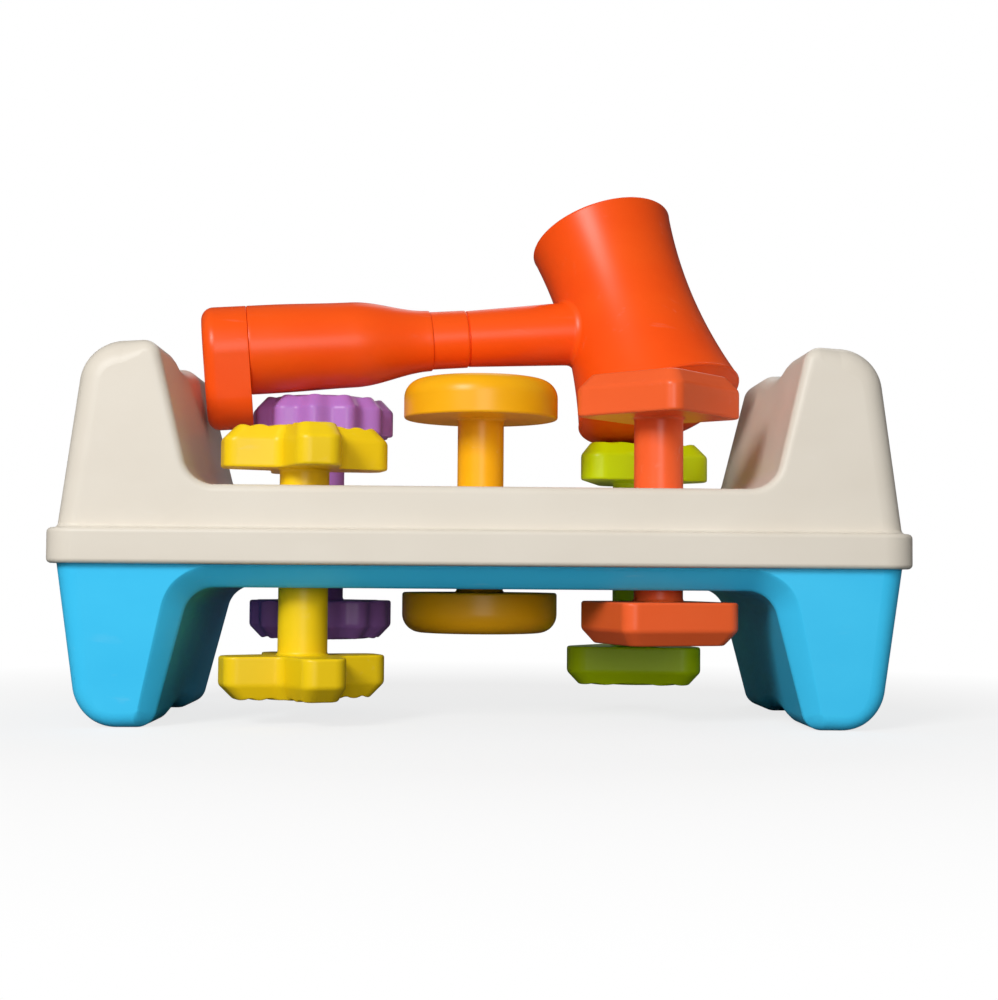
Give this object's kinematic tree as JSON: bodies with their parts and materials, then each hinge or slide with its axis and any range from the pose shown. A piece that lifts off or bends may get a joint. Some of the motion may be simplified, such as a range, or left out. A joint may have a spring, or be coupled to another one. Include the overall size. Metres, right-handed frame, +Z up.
{
  "type": "peg pounding bench",
  "caption": "Toy pounding bench: a hollow moulded bench whose double-headed, shaped pegs slide through its deck, with a domed toy hammer lying across them.",
  "frame": {"origin": "on the floor, midway between the feet", "axes": "+X along the bench to the right, +Y to its back, +Z up; the front faces -Y"},
  "size_m": [0.306, 0.1505, 0.2111],
  "materials": {
    "cream": "satin",
    "sky_blue": "satin",
    "yellow": "satin",
    "purple": "satin",
    "amber": "satin",
    "coral": "satin",
    "lime": "satin",
    "orange": "satin",
    "natural": "matte",
    "ring_rubber": "matte",
    "zinc": "satin"
  },
  "bodies": {
    "bench": {"upper_shell": "cream", "lower_shell": "sky_blue", "shell_screws": "zinc", "star_grip_ring": "ring_rubber", "flower_grip_ring": "ring_rubber", "disc_grip_ring": "ring_rubber", "square_grip_ring": "ring_rubber", "triangle_grip_ring": "ring_rubber"},
    "star_peg": {"star_bottom_half": "yellow", "star_core_pin": "natural"},
    "star_knob": {"star_top_half": "yellow"},
    "flower_peg": {"flower_bottom_half": "purple", "flower_core_pin": "natural"},
    "flower_knob": {"flower_top_half": "purple"},
    "disc_peg": {"disc_bottom_half": "amber", "disc_core_pin": "natural"},
    "disc_knob": {"disc_top_half": "amber"},
    "square_peg": {"square_bottom_half": "coral", "square_core_pin": "natural"},
    "square_knob": {"square_top_half": "coral"},
    "triangle_peg": {"triangle_bottom_half": "lime", "triangle_core_pin": "natural"},
    "triangle_knob": {"triangle_top_half": "lime"},
    "hammer": {"hammer_barrel": "orange", "hammer_strike_face": "orange", "hammer_crown_face": "orange", "hammer_neck": "orange", "hammer_grip": "orange", "hammer_butt_cap": "orange"}
  },
  "joints": [
    {"name": "star_slide", "type": "slide", "parent": "bench", "child": "star_peg", "axis": [0, 0, 1], "range_m": [-0.00651, 0.02419]},
    {"name": "star_turn", "type": "hinge", "parent": "star_peg", "child": "star_knob", "pos_m": [-0.0647, -0.039, 0.05831], "axis": [0, 0, 1], "continuous": true},
    {"name": "flower_slide", "type": "slide", "parent": "bench", "child": "flower_peg", "axis": [0, 0, 1], "range_m": [-0.0253, 0]},
    {"name": "flower_turn", "type": "hinge", "parent": "flower_peg", "child": "flower_knob", "pos_m": [-0.0647, 0.039, 0.0771], "axis": [0, 0, 1], "continuous": true},
    {"name": "disc_slide", "type": "slide", "parent": "bench", "child": "disc_peg", "axis": [0, 0, 1], "range_m": [-0.02926, 0.00144]},
    {"name": "disc_turn", "type": "hinge", "parent": "disc_peg", "child": "disc_knob", "pos_m": [0, 0, 0.08106], "axis": [0, 0, 1], "continuous": true},
    {"name": "square_slide", "type": "slide", "parent": "bench", "child": "square_peg", "axis": [0, 0, 1], "range_m": [-0.02671, 0.00399]},
    {"name": "square_turn", "type": "hinge", "parent": "square_peg", "child": "square_knob", "pos_m": [0.0647, -0.039, 0.07851], "axis": [0, 0, 1], "continuous": true},
    {"name": "triangle_slide", "type": "slide", "parent": "bench", "child": "triangle_peg", "axis": [0, 0, 1], "range_m": [-0.00749, 0]},
    {"name": "triangle_turn", "type": "hinge", "parent": "triangle_peg", "child": "triangle_knob", "pos_m": [0.0647, 0.039, 0.05929], "axis": [0, 0, 1], "continuous": true},
    {"name": "hammer_lift", "type": "slide", "parent": "bench", "child": "hammer", "axis": [0, 0, 1], "range_m": [0, 0.12]}
  ]
}
